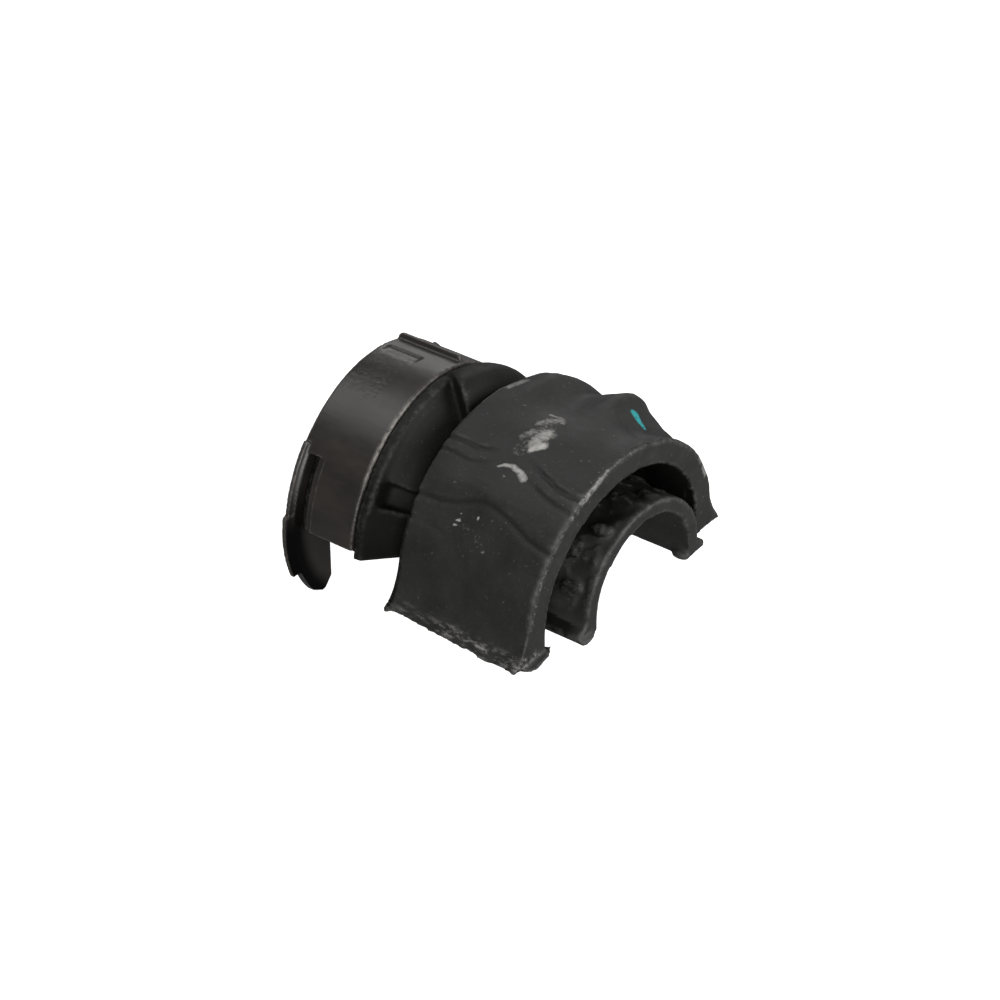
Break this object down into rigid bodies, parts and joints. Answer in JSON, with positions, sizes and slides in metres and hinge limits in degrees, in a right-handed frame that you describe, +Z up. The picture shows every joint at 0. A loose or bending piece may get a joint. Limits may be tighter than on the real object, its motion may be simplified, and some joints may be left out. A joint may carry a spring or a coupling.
{
  "type": "sway bar bushing",
  "caption": "Half of a split rubber sway bar bushing: a wavy sleeve on a webbed half-ring bar seat, with a neck and a stiff clip-on collar half.",
  "frame": {"origin": "on the bar's centre line, at the middle of the wavy sleeve", "axes": "+X along the bar towards the sleeve's free face, +Z up away from the split, Y across"},
  "size_m": [0.0699, 0.0706, 0.0497],
  "materials": {
    "rubber": "matte moulded rubber with dusty scuffs",
    "collar_plastic": "satin moulded glass-filled nylon"
  },
  "bodies": {
    "root": {"rubber_body": "rubber", "collar": "collar_plastic"}
  },
  "joints": []
}
